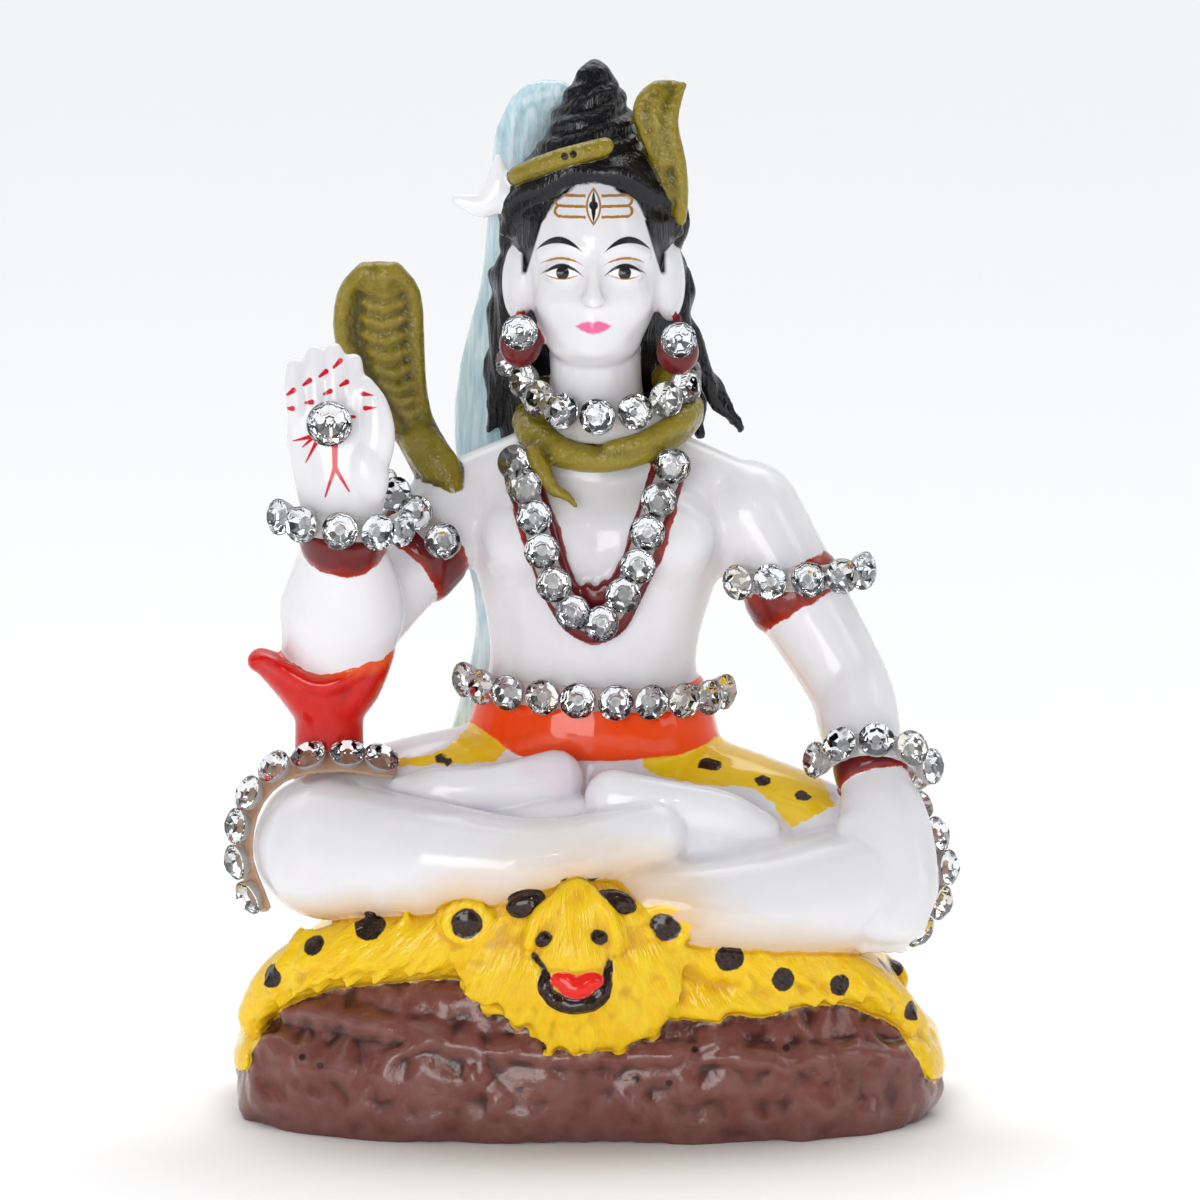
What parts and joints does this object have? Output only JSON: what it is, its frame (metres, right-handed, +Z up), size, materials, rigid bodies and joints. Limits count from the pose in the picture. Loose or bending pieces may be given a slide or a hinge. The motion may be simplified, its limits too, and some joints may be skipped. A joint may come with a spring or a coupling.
{
  "type": "seated shiva figurine",
  "caption": "Painted resin figurine of a seated Shiva on a leopard skin and rock, one hand raised in blessing, trimmed with strips of glued glass stones.",
  "frame": {"origin": "middle of the flat underside, which stands on z = 0", "axes": "+Z up, the figure's height; the figure faces -Y; +X is the figure's left, on the viewer's right"},
  "size_m": [0.0698, 0.0436, 0.0992],
  "materials": {
    "painted_resin": "gloss",
    "glass_stones": "gloss"
  },
  "bodies": {
    "root": {"figure": "painted_resin", "belt_chain": "glass_stones", "collar_chain": "glass_stones", "long_necklace_chain": "glass_stones", "right_armband_chain": "glass_stones", "left_armband_chain": "glass_stones", "right_wrist_chain": "glass_stones", "left_wrist_chain": "glass_stones", "right_knee_chain": "glass_stones", "left_knee_chain": "glass_stones", "palm_stone": "glass_stones", "right_earring_stone": "glass_stones", "left_earring_stone": "glass_stones"}
  },
  "joints": []
}
